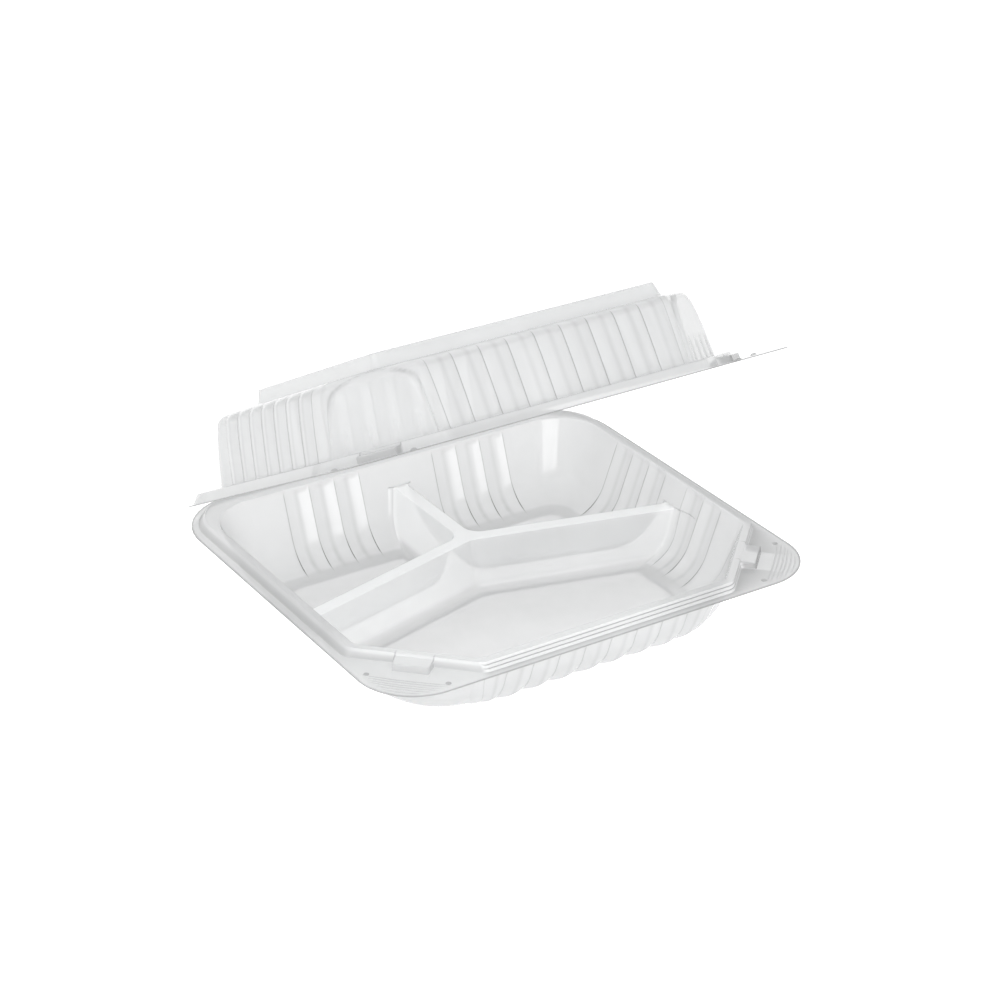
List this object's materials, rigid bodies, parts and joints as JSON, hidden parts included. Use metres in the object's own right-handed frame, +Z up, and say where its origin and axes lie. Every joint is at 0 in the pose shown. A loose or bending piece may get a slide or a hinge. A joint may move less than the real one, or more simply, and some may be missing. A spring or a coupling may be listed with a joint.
{
  "type": "hinged takeaway container",
  "caption": "Clear hinged takeaway container with a divided tray, fluted walls, corner latch buttons and a stepped dome lid that stands part open.",
  "frame": {"origin": "middle of the tray's footprint, on the ground under its floor", "axes": "+X along the hinge, to the right seen from the front, +Y from the front edge to the hinge, +Z up"},
  "size_m": [0.21, 0.1916, 0.1446],
  "materials": {
    "clear_sheet": "clear thermoformed sheet, glossy, faintly grey at the folds"
  },
  "bodies": {
    "tray": {"base_tray": "clear_sheet"},
    "lid": {"lid": "clear_sheet"}
  },
  "joints": [
    {"name": "lid_hinge", "type": "hinge", "parent": "tray", "child": "lid", "pos_m": [0, 0.0952, 0.03055], "axis": [-1, 0, 0], "range_deg": [-29, 136]}
  ]
}
